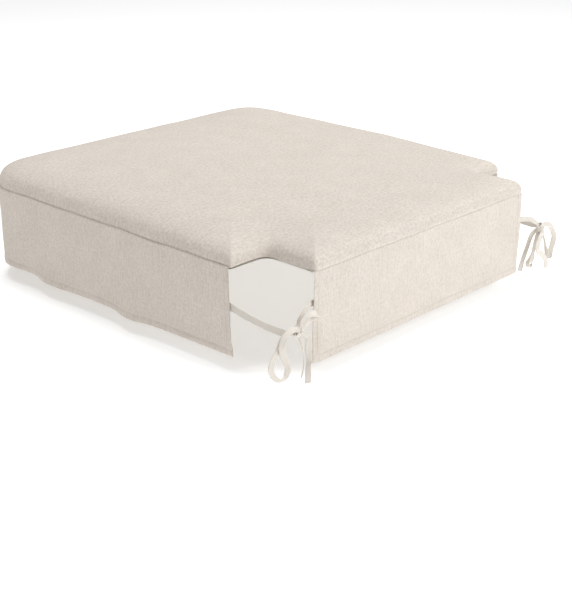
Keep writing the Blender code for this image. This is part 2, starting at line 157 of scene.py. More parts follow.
def arc(cx, cy, r, start, end, count):
    """Points of an arc, between two angles in degrees."""
    angles = np.radians(np.linspace(start, end, count))
    return [(cx + r * math.cos(a), cy + r * math.sin(a)) for a in angles]


def line(a, b, count):
    """Points strictly between a and b."""
    shares = np.arange(1, count + 1) / (count + 1)
    return [(a[0] + (b[0] - a[0]) * k, a[1] + (b[1] - a[1]) * k) for k in shares]


def mesh_object(name, verts, faces, cloth=None):
    """Smooth-shaded mesh object, with its cloth coordinates where it has them."""
    mesh = bpy.data.meshes.new(name)
    mesh.from_pydata([tuple(v) for v in verts], [], [tuple(int(i) for i in f) for f in faces])
    if cloth is not None:
        flat = np.zeros((len(verts), 3), np.float32)
        flat[:, :2] = np.asarray(cloth)[:, :2]
        layer = mesh.attributes.new("cloth", "FLOAT_VECTOR", "POINT")
        layer.data.foreach_set("vector", flat.ravel())
    mesh.shade_smooth()
    ob = bpy.data.objects.new(name, mesh)
    bpy.context.scene.collection.objects.link(ob)
    return ob


def grid_faces(rows, cols, wrap=False):
    """Quads of a grid of points; wrap joins the last column to the first."""
    faces = []
    for r in range(rows - 1):
        for c in range(cols if wrap else cols - 1):
            d = (c + 1) % cols
            faces.append((r * cols + c, r * cols + d, (r + 1) * cols + d, (r + 1) * cols + c))
    return faces


def grid_object(name, points, cloth, thickness=0.0, flip=False):
    """Sheet from a (rows, columns, 3) array, thickened inwards if it has a thickness."""
    rows, cols = points.shape[:2]
    faces = grid_faces(rows, cols)
    if flip:
        faces = [f[::-1] for f in faces]
    ob = mesh_object(name, points.reshape(-1, 3), faces, cloth.reshape(-1, 2))
    if thickness:
        thicken(ob, thickness)
    return ob


def thicken(ob, thickness):
    """Gives a sheet its thickness, on its inner side."""
    mod = ob.modifiers.new("Cloth thickness", "SOLIDIFY")
    mod.thickness = thickness
    mod.offset = -1.0


def evaluated(ob):
    """The object's mesh with its modifiers applied, as a new mesh."""
    graph = bpy.context.evaluated_depsgraph_get()
    return bpy.data.meshes.new_from_object(ob.evaluated_get(graph))


def coordinates(mesh):
    """A mesh's points as an (n, 3) array."""
    flat = np.zeros(len(mesh.vertices) * 3)
    mesh.vertices.foreach_get("co", flat)
    return flat.reshape(-1, 3)


# ---- materials --------------------------------------------------------------

def new_material(name, rough, sheen=0.0):
    """A material with its Principled shader and constant finish."""
    mat = bpy.data.materials.new(name)
    mat.use_nodes = True
    bsdf = mat.node_tree.nodes["Principled BSDF"]
    bsdf.inputs["Roughness"].default_value = rough
    bsdf.inputs["Specular IOR Level"].default_value = 0.25
    bsdf.inputs["Sheen Weight"].default_value = sheen
    bsdf.inputs["Sheen Roughness"].default_value = 0.6
    return mat, bsdf


class Nodes:
    """Short calls for the node tree of one material."""

    def __init__(self, mat):
        self.tree = mat.node_tree

    def add(self, kind, **settings):
        node = self.tree.nodes.new("ShaderNode" + kind)
        for key, value in settings.items():
            setattr(node, key, value)
        return node

    def link(self, source, target):
        self.tree.links.new(source, target)

    def feed(self, socket, value):
        """Links an output or sets a plain value."""
        if isinstance(value, bpy.types.NodeSocket):
            self.link(value, socket)
        else:
            socket.default_value = value

    def math(self, operation, a, b=0.0):
        node = self.add("Math", operation=operation)
        self.feed(node.inputs[0], a)
        self.feed(node.inputs[1], b)
        return node.outputs[0]

    def fit(self, value, low, high, to_low=0.0, to_high=1.0):
        """Maps low..high to to_low..to_high and clamps."""
        node = self.add("MapRange")
        self.feed(node.inputs["Value"], value)
        node.inputs["From Min"].default_value = low
        node.inputs["From Max"].default_value = high
        node.inputs["To Min"].default_value = to_low
        node.inputs["To Max"].default_value = to_high
        return node.outputs["Result"]

    def mix(self, share, a, b):
        node = self.add("Mix", data_type="RGBA")
        self.feed(node.inputs["Factor"], share)
        self.feed(node.inputs["A"], a)
        self.feed(node.inputs["B"], b)
        return next(o for o in node.outputs if o.type == "RGBA")

    def noise(self, vector, scale, detail=2.0, stretch=(1.0, 1.0, 1.0)):
        mapping = self.add("Mapping")
        self.link(vector, mapping.inputs["Vector"])
        mapping.inputs["Scale"].default_value = stretch
        node = self.add("TexNoise")
        self.link(mapping.outputs[0], node.inputs["Vector"])
        node.inputs["Scale"].default_value = scale
        node.inputs["Detail"].default_value = detail
        return node.outputs["Fac"]

    def bump(self, height, distance, bsdf):
        node = self.add("Bump")
        node.inputs["Distance"].default_value = distance
        node.inputs["Strength"].default_value = 1.0
        self.link(height, node.inputs["Height"])
        self.link(node.outputs[0], bsdf.inputs["Normal"])


def cloth_vector(n):
    """The cloth coordinate, in metres across and along the cut cloth."""
    return n.add("Attribute", attribute_name="cloth").outputs["Vector"]


def weave_height(n, vector, pitch):
    """Plain weave: warp and weft threads crossing over and under."""
    parts = n.add("SeparateXYZ")
    n.link(vector, parts.inputs[0])
    turn = math.pi / pitch
    across = n.math("SINE", n.math("MULTIPLY", parts.outputs["X"], turn))
    along = n.math("SINE", n.math("MULTIPLY", parts.outputs["Y"], turn))
    checker = n.math("GREATER_THAN", n.math("MULTIPLY", across, along), 0.0)
    warp = n.math("MULTIPLY", n.math("ABSOLUTE", across), checker)
    weft = n.math("MULTIPLY", n.math("ABSOLUTE", along), n.math("SUBTRACT", 1.0, checker))
    return n.math("ADD", warp, weft)


def woven(name, pale, dark, slub=(0.5, 0.5), pitch=0.00055, rough=0.92, fleck=0.35, mottling=0.34):
    """Natural woven cloth; slub is how much warp and weft yarns vary in colour."""
    mat, bsdf = new_material(name, rough, 0.12)
    n = Nodes(mat)
    vector = cloth_vector(n)
    warp = n.noise(vector, 1.0, 3.0, (1050.0, 62.0, 1.0))
    weft = n.noise(vector, 1.0, 3.0, (62.0, 1050.0, 1.0))
    cloud = n.noise(vector, 26.0, 3.0)
    mottle = n.noise(vector, 330.0, 2.0)
    specks = n.noise(vector, 1.0, 1.0, (760.0, 300.0, 1.0))
    yarns = n.math("ADD", n.math("MULTIPLY", n.fit(warp, 0.32, 0.68), slub[0]),
                   n.math("MULTIPLY", n.fit(weft, 0.32, 0.68), slub[1]))
    tone = n.math("ADD", yarns, n.math("MULTIPLY", n.fit(cloud, 0.3, 0.7), 0.16))
    tone = n.math("ADD", tone, n.math("MULTIPLY", n.fit(mottle, 0.3, 0.7), mottling))
    tone = n.math("ADD", tone, n.math("MULTIPLY", n.fit(specks, 0.66, 0.80), fleck))
    colour = n.mix(n.fit(tone, 0.25, 1.35), pale, dark)
    n.link(colour, bsdf.inputs["Base Color"])
    height = n.math("MULTIPLY", weave_height(n, vector, pitch), 0.10)
    height = n.math("ADD", height, n.math("MULTIPLY", yarns, 0.10))
    n.bump(height, 0.0012, bsdf)
    n.link(n.fit(tone, 0.2, 1.4, rough - 0.05, min(rough + 0.05, 1.0)), bsdf.inputs["Roughness"])
    return mat


def tape_material():
    """Folded self-fabric tape with a painted highlight (a lighter colour along its two folded edges),
    stitched along one.
    """
    mat, bsdf = new_material("tie_tape", 0.88, 0.2)
    n = Nodes(mat)
    vector = cloth_vector(n)
    parts = n.add("SeparateXYZ")
    n.link(vector, parts.inputs[0])
    # painted highlight: the tape's colour is mixed lighter towards its two folded edges
    edge = n.fit(n.math("ABSOLUTE", parts.outputs["X"]), TAPE_WIDTH * 0.30, TAPE_WIDTH * 0.48)
    fibres = n.noise(vector, 1.0, 3.0, (1500.0, 160.0, 1.0))
    cloud = n.noise(vector, 120.0, 2.0)
    tone = n.math("ADD", n.math("MULTIPLY", n.fit(fibres, 0.3, 0.7), 0.5), n.math("MULTIPLY", cloud, 0.4))
    body = n.mix(tone, (0.88, 0.825, 0.755, 1.0), (0.74, 0.68, 0.60, 1.0))
    n.link(n.mix(edge, body, (0.91, 0.865, 0.80, 1.0)), bsdf.inputs["Base Color"])
    off_edge = n.math("ABSOLUTE", n.math("SUBTRACT", parts.outputs["X"], TAPE_WIDTH * 0.33))
    seam = n.fit(off_edge, 0.0, 0.0005, -0.25, 0.0)
    height = n.math("ADD", n.math("MULTIPLY", weave_height(n, vector, 0.00045), 0.10), seam)
    n.bump(height, 0.0010, bsdf)
    return mat


def thread_material():
    """Spun thread: a faint twist along each stitch."""
    mat, bsdf = new_material("thread", 0.65, 0.2)
    n = Nodes(mat)
    place = n.add("TexCoord").outputs["Object"]
    twist = n.noise(place, 1400.0, 2.0)
    n.link(n.mix(twist, (0.74, 0.69, 0.61, 1.0), (0.58, 0.53, 0.46, 1.0)), bsdf.inputs["Base Color"])
    n.bump(twist, 0.0002, bsdf)
    return mat


def foam_material():
    """Open-cell foam in pale yellow, with painted shade: a darker colour in the fine pores."""
    mat, bsdf = new_material("foam", 0.95)
    n = Nodes(mat)
    place = n.add("TexCoord").outputs["Object"]
    pores = n.add("TexVoronoi")
    n.link(place, pores.inputs["Vector"])
    pores.inputs["Scale"].default_value = 900.0
    # painted shade: the colour darkens towards each pore's centre; the same value drives the pore bump
    pore_shade_and_depth = n.fit(pores.outputs["Distance"], 0.1, 0.6)
    n.link(n.mix(pore_shade_and_depth, (0.62, 0.55, 0.36, 1.0), (0.90, 0.86, 0.68, 1.0)), bsdf.inputs["Base Color"])
    n.bump(pore_shade_and_depth, 0.0006, bsdf)
    return mat


def wadding_material():
    """Polyester wadding: loose white fibres."""
    mat, bsdf = new_material("wadding", 0.98, 0.4)
    n = Nodes(mat)
    place = n.add("TexCoord").outputs["Object"]
    fibres = n.noise(place, 1.0, 4.0, (240.0, 900.0, 240.0))
    clumps = n.noise(place, 60.0, 3.0)
    tone = n.math("MULTIPLY", fibres, n.fit(clumps, 0.2, 0.8, 0.6, 1.3))
    n.link(n.mix(tone, (0.84, 0.84, 0.83, 1.0), (0.97, 0.97, 0.96, 1.0)), bsdf.inputs["Base Color"])
    n.bump(tone, 0.0025, bsdf)
    return mat


MATERIALS = {
    "cover_linen": woven("cover_linen", (0.860, 0.778, 0.702, 1), (0.60, 0.535, 0.462, 1),
                         (0.26, 0.34), fleck=0.50, mottling=0.62),
    "skirt_linen": woven("skirt_linen", (0.860, 0.778, 0.702, 1), (0.58, 0.515, 0.447, 1),
                         (0.40, 0.14), fleck=0.45, mottling=0.42),
    "lining_calico": woven("lining_calico", (0.84, 0.805, 0.745, 1), (0.70, 0.66, 0.59, 1),
                           (0.3, 0.3), 0.0008, 0.9, 0.5),
    "tie_tape": tape_material(),
    "thread": thread_material(),
    "foam": foam_material(),
    "wadding": wadding_material(),
}


def dress(ob, slot, *nodes):
    """Gives a piece its material and hides the CAD nodes it stands for."""
    ob.data.materials.clear()
    ob.data.materials.append(MATERIALS[slot])
    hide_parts(*nodes)
    return ob


# ---- camera -----------------------------------------------------------------

CAMERA_PLACE = (1.0008, 0.9781, 0.4213)
CAMERA_AZIMUTH = 133.447
CAMERA_ELEVATION = 21.953


def add_camera():
    """Rear left three-quarter view, a little above the seat."""
    azimuth, elevation = math.radians(CAMERA_AZIMUTH), math.radians(CAMERA_ELEVATION)
    back = Vector((
        math.sin(azimuth) * math.cos(elevation),
        -math.cos(azimuth) * math.cos(elevation),
        math.sin(elevation),
    ))
    data = bpy.data.cameras.new("camera")
    data.lens = 75.0
    data.sensor_width = 36.0
    camera = bpy.data.objects.new("camera", data)
    bpy.context.scene.collection.objects.link(camera)
    camera.location = CAMERA_PLACE
    camera.rotation_euler = (-back).to_track_quat("-Z", "Y").to_euler()
    bpy.context.scene.camera = camera


# ---- ties -------------------------------------------------------------------

# directions that a tape's flat side faces
OUT_REAR_UP = (0.67, 0.64, 0.37)
BACKWARD = (0.0, 1.0, 0.0)
OUT_LEFT = (1.0, 0.0, 0.0)
OUT_RIGHT = (-1.0, 0.0, 0.0)

# name: (route in mm, facing stops along it, ends narrowed into a knot)
TIES = {
    "left_side_tie": (
        [(221.6, 151, -37), (221.6, 160, -38.5), (221.2, 168, -40), (219.8, 181, -43.2),
         (218.4, 194, -46), (216.8, 209, -48.5), (215.3, 223, -49.8), (214.2, 231, -49.8),
         (211.8, 235.8, -49.6)],
        [(0.0, OUT_LEFT), (0.88, OUT_LEFT), (1.0, (0.7, 0.7, 0.0))], (False, True)),
    "right_side_tie": (
        [(-221.6, 151, -38), (-221.6, 160, -39), (-221.2, 168, -40), (-219.4, 181, -42.5),
         (-217.8, 196, -44.5), (-216.6, 211, -46), (-216.0, 224, -46.6), (-216.4, 232.6, -46.8)],
        [(0.0, OUT_RIGHT), (1.0, OUT_RIGHT)], (False, True)),
    "left_back_tie": (
        [(156.5, 231.0, -33.2), (167, 231.0, -31.6), (176, 231.1, -30.6), (183.5, 232.8, -30.4),
         (191.0, 235.0, -33.0), (196.8, 236.4, -37.4), (200.6, 237.2, -41.4)],
        [(0.0, BACKWARD), (0.6, BACKWARD), (1.0, (0.2, 0.9, 0.4))], (False, True)),
    "right_back_tie": (
        [(-158, 231.0, -30.5), (-168, 231.0, -30.5), (-178, 231.2, -31), (-185.5, 233.2, -31.6),
         (-193.5, 235.4, -33.0), (-200.5, 237.2, -36.6), (-205.6, 238.4, -40.6)],
        [(0.0, BACKWARD), (0.6, BACKWARD), (1.0, (-0.2, 0.9, 0.4))], (False, True)),
    "left_loop_hanging": (
        [(211.6, 238.2, -46.4), (217.5, 238.4, -46.2), (223.5, 238.2, -50.5), (228, 237.6, -58),
         (234.5, 236.8, -68), (238.5, 236.4, -76.5), (235.5, 236.2, -85.5), (227.8, 236.6, -93),
         (220.8, 237.4, -92.5), (217.5, 238.6, -85), (221, 239.8, -75.5), (226.8, 241, -64.2),
         (228.6, 241.8, -55), (226, 242.2, -48.2), (220, 242, -44.2), (212.0, 241.4, -43.6)],
        [(0.0, (0.3, -0.5, 0.8)), (0.2, (0.05, 0.95, 0.3)), (0.34, (0.3, 0.9, 0.0)),
         (0.46, (0.6, 0.7, -0.5)), (0.6, (0.6, 0.7, -0.3)), (0.72, OUT_REAR_UP),
         (1.0, (0.4, 0.8, 0.45))],
        (True, True)),
    "left_loop_upper": (
        [(202.8, 242.6, -42.4), (200.4, 243.8, -37.2), (196.2, 244.4, -33.8), (189, 244.2, -33.6),
         (182.0, 242.8, -36.8), (180.4, 240.2, -39.8), (185.0, 238.8, -41.6), (191, 239.2, -43.0),
         (197.4, 239.6, -45.6)],
        [(0.0, (0.2, 0.9, 0.4)), (0.35, (0.1, 0.8, 0.6)), (0.5, (-0.7, 0.7, 0.1)),
         (0.6, (-0.6, -0.8, 0.0)), (0.75, (0.0, -0.9, -0.4)), (1.0, (0.1, -0.9, -0.3))],
        (True, True)),
    "left_tail_long": (
        [(199.6, 242.4, -51.8), (195.4, 244.4, -55.4), (194.8, 244.2, -62.4), (194.0, 243.2, -70.4),
         (191.4, 242.2, -81), (191.8, 241.4, -91), (190.8, 240.4, -106.8)],
        [(0.0, (0.3, 0.9, 0.3)), (0.4, OUT_REAR_UP), (0.65, (0.9, 0.2, 0.1)),
         (1.0, (0.5, 0.85, 0.1))], (True, False)),
    "left_tail_short": (
        [(203.2, 237.3, -54.4), (197.2, 235.3, -61.8), (192.4, 234.4, -72), (189.8, 233.8, -83),
         (190.4, 233.6, -94), (192.8, 233.4, -102.5)],
        [(0.0, (0.69, -0.72, 0.2)), (1.0, (0.69, -0.72, 0.0))], (True, False)),
    "right_loop_hanging": (
        [(-215.8, 241.6, -44.0), (-220.8, 242.4, -43.8), (-226.8, 243, -47.2), (-232.5, 243.3, -54),
         (-237.2, 243.4, -63), (-236, 243, -72), (-233.4, 242.6, -80), (-233.4, 241.9, -88),
         (-229.8, 241, -85), (-227, 240, -76), (-223.4, 239.1, -65.2), (-219.2, 238.6, -55.2),
         (-216.2, 238.6, -50.4)],
        [(0.0, (0.1, 0.8, 0.6)), (0.15, OUT_REAR_UP), (0.5, OUT_REAR_UP), (0.64, (0.9, 0.0, -0.5)),
         (0.75, (0.74, -0.58, -0.34)), (1.0, (0.74, -0.58, -0.34))], (True, True)),
    "right_loop_small": (
        [(-206.6, 242.0, -51.6), (-201.4, 242.8, -59), (-195.6, 242.8, -69), (-190.4, 241.8, -78.5),
         (-188.4, 240.6, -85), (-193.4, 239.0, -91.2), (-200.2, 238.0, -89.6), (-202.2, 237.8, -78.4),
         (-204.6, 237.8, -68), (-207.6, 238, -58), (-208.8, 238.4, -53.0)],
        [(0.0, (0.4, 0.8, 0.2)), (0.25, (0.74, -0.6, -0.3)), (0.42, (0.7, -0.3, -0.6)),
         (0.55, (0.1, 0.3, -0.9)), (0.7, (0.1, 0.95, 0.0)), (1.0, (0.1, 0.95, 0.1))], (True, True)),
    "right_tail_front": (
        [(-208.6, 244.9, -50.4), (-201.0, 246.8, -55), (-195.0, 248.0, -63), (-198.6, 247.4, -71),
         (-210.5, 245.4, -78.5), (-222, 243.4, -88), (-228, 242.0, -100.5)],
        [(0.0, (0.3, 0.9, 0.1)), (1.0, (0.3, 0.9, 0.2))], (True, False)),
    "right_tail_back": (
        [(-205.4, 236.3, -50.2), (-201.2, 234.7, -55), (-198.4, 233.9, -62), (-194.6, 233.4, -71),
         (-189, 233.3, -82), (-183.5, 233.6, -95)],
        [(0.0, (0.2, 0.9, 0.2)), (1.0, (0.3, 0.9, 0.1))], (True, False)),
}

# name: (centre in mm, half length, depth and height of the winding, direction it is pulled along)
KNOTS = {
    "left_knot": ((204.8, 239.0, -47.8), (5.6, 3.2, 3.6), (-0.65, 0.10, 0.75)),
    "right_knot": ((-210.0, 239.8, -46.5), (5.2, 3.2, 3.6), (0.55, 0.05, -0.83)),
}
KNOT_TAPE_WIDTH = 5.0 * MM
KNOT_TAPE_THICK = 1.6 * MM
INTO_KNOT = 0.6            # share of the way to the knot's centre that a tape's end runs on


def tape_section():
    """Section of the folded tape as (across, through) shares of its half width and half thickness."""
    across = np.array([-1.0, -0.96, -0.84, -0.62, -0.3, 0.0, 0.3, 0.62, 0.84, 0.96, 1.0])
    through = np.array([0.0, 0.80, 1.0, 0.94, 0.88, 0.86, 0.88, 0.94, 1.0, 0.80, 0.0])
    top = list(zip(across, through))
    under = [(a, -t) for a, t in reversed(top[1:-1])]
    return np.array(top + under)


def sweep(name, centres, normals, widths, thicks, closed=False, seed=1):
    """Flat tape along centres, facing along normals."""
    section = tape_section()
    count, ring = len(centres), len(section)
    run = lengths(centres)
    if closed:
        ahead = np.roll(centres, -1, axis=0) - np.roll(centres, 1, axis=0)
    else:
        ahead = np.gradient(centres, axis=0)
    ahead /= np.linalg.norm(ahead, axis=1, keepdims=True)
    facing = normals - ahead * np.sum(normals * ahead, axis=1, keepdims=True)
    facing /= np.linalg.norm(facing, axis=1, keepdims=True)
    side = np.cross(ahead, facing)
    uneven = 1 + 0.05 * ripple(run, run * 0, 0.011, seed)
    across = section[None, :, 0] * (widths * uneven)[:, None] / 2
    cup = 0.18 * MM * (section[None, :, 0] ** 2 - 0.4) * ripple(run, run * 0, 0.030, seed + 7)[:, None]
    through = section[None, :, 1] * thicks[:, None] / 2 + cup
    verts = centres[:, None] + side[:, None] * across[..., None] + facing[:, None] * through[..., None]
    cloth = np.stack([across, np.broadcast_to(run[:, None], across.shape)], axis=-1)
    faces = grid_faces(count, ring, wrap=True)
    if closed:
        last = (count - 1) * ring
        faces += [(last + c, last + (c + 1) % ring, (c + 1) % ring, c) for c in range(ring)]
    else:
        faces += [tuple(range(ring))[::-1], tuple(range((count - 1) * ring, count * ring))]
    return mesh_object(name, verts.reshape(-1, 3), faces, cloth.reshape(-1, 2))


def tie(name, seed):
    """One tie tape, its knotted ends running on into the knot; also its path and width."""
    route, stops, necks = TIES[name]
    middle = np.array(KNOTS[name.split("_")[0] + "_knot"][0])
    route = np.array(route)
    if necks[0]:
        route = np.vstack([route[0] + (middle - route[0]) * INTO_KNOT, route])
    if necks[1]:
        route = np.vstack([route, route[-1] + (middle - route[-1]) * INTO_KNOT])
    path = smooth(route * MM, 90)
    run = lengths(path)
    share = np.linspace(0, 1, len(path))
    normals = np.stack([np.interp(share, [s[0] for s in stops], [s[1][i] for s in stops])
                        for i in range(3)], axis=1)
    wide = TAPE_WIDTH if name.endswith("side_tie") else BOW_WIDTH
    widths = np.full(len(run), wide)
    if necks[0]:
        widths = np.minimum(widths, TAPE_NECK + run * NECK_SPREAD)
    if necks[1]:
        widths = np.minimum(widths, TAPE_NECK + (run[-1] - run) * NECK_SPREAD)
    thicks = TAPE_THICK * (1 + 0.5 * (1 - widths / wide))
    piece = sweep(name + "_tape", path, normals, widths, thicks, seed=seed)
    return dress(piece, "tie_tape", name), path, wide


def knot(name, seed):
    """Pulled-tight knot: tape wound over and under itself three times."""
    centre, reach, pull = KNOTS[name]
    t = np.linspace(0, 2 * math.pi, 140, endpoint=False)
    wound = np.stack([np.cos(t) - 2 * np.cos(2 * t), -np.sin(3 * t), np.sin(t) + 2 * np.sin(2 * t)], axis=1)
    wound = wound * np.array(reach) / np.array([3.0, 1.0, 3.0])
    pull = np.array(pull) / np.linalg.norm(pull)
    front = np.cross([0.0, 0.0, 1.0], pull)
    front /= np.linalg.norm(front)
    axes = np.stack([pull, front, np.cross(pull, front)])
    centres = (np.array(centre) + wound @ axes) * MM
    normals = (wound * np.array([0.3, 1.0, 0.3]) + np.array([0.0, 0.6, 0.0])) @ axes
    widths = np.full(len(t), KNOT_TAPE_WIDTH)
    thicks = np.full(len(t), KNOT_TAPE_THICK)
    piece = sweep(name + "_wound", centres, normals, widths, thicks, closed=True, seed=seed)
    return dress(piece, "tie_tape", name)


def add_ties():
    """Four ties round the posts, two knots, and the bows' loops and tails."""
    for k, name in enumerate(KNOTS):
        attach(knot(name, 40 + k), "pad")
    for k, name in enumerate(TIES):
        side = name.split("_")[0]
        piece, path, wide = tie(name, 50 + k)
        if name.endswith("back_tie"):
            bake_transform(piece)
        elif name.endswith("side_tie") or name == "left_loop_upper":
            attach(piece, "pad")
        else:
            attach(piece, side + "_bow")
        if name.endswith("_tie"):
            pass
        elif "loop" in name:
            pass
        else:
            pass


# ---- cover, wadding and foam ------------------------------------------------

def half_plan(inset):
    """The pad plan's +X half at an inset, from the front to the rear."""
    x, front = HALF_WIDTH - inset, -(FRONT - inset)
    notch_x, notch_y, rear = NOTCH_X - inset, NOTCH_Y - inset, REAR - inset
    r_front = max(CORNER_R - inset, 0.004)
    r_side = max(NOTCH_OUT_R - inset, 0.0015)
    r_in = min(NOTCH_IN_R + inset, 0.032)
    r_rear = max(TONGUE_R - inset, 0.0015)
    pts = arc(x - r_front, front + r_front, r_front, -90, 0, 26)
    pts += line((x, front + r_front), (x, notch_y - r_side), 86)
    pts += arc(x - r_side, notch_y - r_side, r_side, 0, 90, 7)
    pts += line((x - r_side, notch_y), (notch_x + r_in, notch_y), 7)
    pts += arc(notch_x + r_in, notch_y + r_in, r_in, 270, 180, 8)
    pts += line((notch_x, notch_y + r_in), (notch_x, rear - r_rear), 11)
    pts += arc(notch_x - r_rear, rear - r_rear, r_rear, 0, 90, 7)
    return pts


def plan(inset):
    """The pad's whole plan at an inset, as a closed ring of points."""
    half = half_plan(inset)
    mirrored = [(-x, y) for x, y in reversed(half)]
    rear = line(half[-1], mirrored[0], 79)
    front = line(mirrored[-1], half[0], 79)
    return np.array(half + rear + mirrored + front)


def pad_ring(inset, height):
    """One ring of the pad: set in at the sides, flush at the rear tongue, lower to the rear."""
    flat, flush = plan(inset), plan(inset - TONGUE_FLUSH)
    flat = flat + (flush - flat) * step(flat[:, 1:], 0.172, 0.190)
    low = TONGUE_THIN * step(flat[:, 1], 0.0, 0.200) * max(height - 0.0046, 0.0)
    return np.column_stack([flat, height - low])


def offset_profile(depth, lowest):
    """The pad profile moved inwards by a depth, kept above a lowest height."""
    pts = np.array(PAD_PROFILE)
    run = np.gradient(pts, axis=0)
    normal = np.stack([run[:, 1], -run[:, 0]], axis=1) / np.linalg.norm(run, axis=1, keepdims=True)
    moved = pts + normal * depth
    return [(pts[0][0] + depth, lowest)] + [tuple(p) for p in moved if p[1] > lowest + 0.0012]


def plan_outward():
    """Outward direction at each point of the plan."""
    outward = plan(0.0) - plan(0.002)
    return outward / np.linalg.norm(outward, axis=1, keepdims=True)


def crown_rings(profile, edge=(), count=30):
    """Rings of points from a turned-in edge up the profile and in to the middle."""
    section = list(edge) + [tuple(p) for p in smooth(profile, count, 1.6)]
    rings = [pad_ring(inset, height) for inset, height in section]
    last = rings[-1]
    middle = last.mean(axis=0)
    rings += [middle + (last - middle) * share for share in (0.82, 0.64, 0.46, 0.30, 0.15, 0.03)]
    return np.array(rings)


def closed_form(name, rings):
    """Closed body from rings, capped at both ends."""
    count, ring = rings.shape[:2]
    faces = grid_faces(count, ring, wrap=True)
    faces += [tuple(range(ring))[::-1], tuple(range((count - 1) * ring, count * ring))]
    return mesh_object(name, rings.reshape(-1, 3), faces)


PUFF_START = 0.0015        # how much smaller than the pad the cloth starts
PUFF_MOST = 0.0009         # how far the fullest part of the cover is carried outwards
VOXEL = 0.005
SEAM_HELD = 0.0065         # cloth below this height is held by the seam
PRESSURE = 4.0
FRAMES = 20


def inflate(form):
    """Swells a closed cushion as cloth, its seam held; returns its points and their movement."""
    remesh = form.modifiers.new("Remesh", "REMESH")
    remesh.mode = "VOXEL"
    remesh.voxel_size = VOXEL
    cushion = bpy.data.objects.new("cushion", evaluated(form))
    bpy.context.scene.collection.objects.link(cushion)
    rest = coordinates(cushion.data)
    held = cushion.vertex_groups.new(name="seam")
    held.add([int(i) for i in np.flatnonzero(rest[:, 2] < SEAM_HELD)], 1.0, "REPLACE")
    cloth = cushion.modifiers.new("Cloth", "CLOTH")
    cloth.settings.vertex_group_mass = "seam"
    cloth.settings.use_pressure = True
    cloth.settings.uniform_pressure_force = PRESSURE
    cloth.settings.effector_weights.gravity = 0.0
    for number in range(1, FRAMES + 1):
        bpy.context.scene.frame_set(number)
    moved = coordinates(evaluated(cushion)) - rest
    bpy.context.scene.frame_set(1)
    for ob in (cushion, form):
        bpy.data.objects.remove(ob, do_unlink=True)
    return rest, moved


def swell(rings, rest, moved):
    """Carries the cushion's movement over to the cover's points, evened out and none at the seam."""
    tree = KDTree(len(rest))
    for index, point in enumerate(rest):
        tree.insert(point, index)
    tree.balance()
    far = np.linalg.norm(moved, axis=1, keepdims=True)
    full = np.percentile(far, 95)
    push = moved * np.minimum(1.0, full / np.maximum(far, 1e-9)) * PUFF_MOST / full
    out = rings.copy()
    for r, c in np.ndindex(rings.shape[:2]):
        hold = step(rings[r, c, 2], SEAM_HELD, 0.0150)
        near = [index for _, index, _ in tree.find_n(rings[r, c], 8)]
        out[r, c] += hold * push[near].mean(axis=0)
    return out


def seam_lift(x, y):
    """Height unevenness of the seam line, the same for the cover and the skirts."""
    return 0.35 * MM * ripple(x, y, 0.060, 3)


def pucker(rings):
    """Small gathers above the seam and slow undulations over the top."""
    outward = plan_outward()
    around = lengths(np.vstack([plan(0.0), plan(0.0)[:1]]))[:-1]
    x, y, z = rings[..., 0], rings[..., 1], rings[..., 2]
    near_seam = hump(z, 0.0085, 0.0075)
    gathers = 0.42 * ripple(around, around * 0, 0.018, 5) + 0.65 * ripple(around, around * 0, 0.050, 6)
    push = MM * gathers[None, :] * near_seam
    push += MM * 0.5 * ripple(x, y, 0.085, 8) * step(z, 0.010, 0.018)
    out = rings.copy()
    out[..., 0] += outward[None, :, 0] * push * (z < 0.021)
    out[..., 1] += outward[None, :, 1] * push * (z < 0.021)
    top = step(z, 0.018, 0.024)
    out[..., 2] += MM * (0.55 * ripple(x, y, 0.130, 11) + 0.18 * ripple(x, y, 0.040, 12)) * top
    out[..., 2] += seam_lift(x, y) * (1 - step(z, 0.004, 0.012))
    return out


def cover_cloth(rings):
    """Cloth coordinates of the cover: flat over the top, running down its edges."""
    outward = plan_outward()
    steps = np.linalg.norm(np.diff(rings, axis=0), axis=2)
    drop = np.abs(np.diff(rings[..., 2], axis=0))
    flatwise = np.linalg.norm(np.diff(rings[..., :2], axis=0), axis=2)
    extra = np.where(drop > flatwise * 0.3, steps - flatwise, 0.0)
    below = np.concatenate([np.cumsum(extra[::-1], axis=0)[::-1], np.zeros((1, rings.shape[1]))])
    return rings[..., :2] + outward[None] * below[..., None]


COVER_EDGE = [(0.0105, 0.0018), (0.0060, 0.0018), (0.0030, 0.0018), (0.0023, 0.0019), (0.0021, 0.0023)]


def add_cover():
    """The sewn cover: one crowned shell of linen over the wadding."""
    rings = crown_rings(PAD_PROFILE, COVER_EDGE, 34)
    small = crown_rings(offset_profile(PUFF_START, 0.0030), count=16)
    rings = swell(rings, *inflate(closed_form("puff", small)))
    rings = pucker(rings)
    cloth = cover_cloth(rings)
    count, ring = rings.shape[:2]
    faces = grid_faces(count, ring, wrap=True)
    faces.append(tuple(range((count - 1) * ring, count * ring)))
    piece = mesh_object("cover", rings.reshape(-1, 3), faces, cloth.reshape(-1, 2))
    thicken(piece, CLOTH)
    dress(piece, "cover_linen", "top_cover")
    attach(piece, "pad")


WADDING_IN = 0.0016        # cover's face to the wadding's face
WADDING_THICK = 0.0026
CORE_IN = 0.0046           # cover's face to the foam
CORE_EDGE = [(0.0165, 0.0014), (0.0145, 0.0022)]


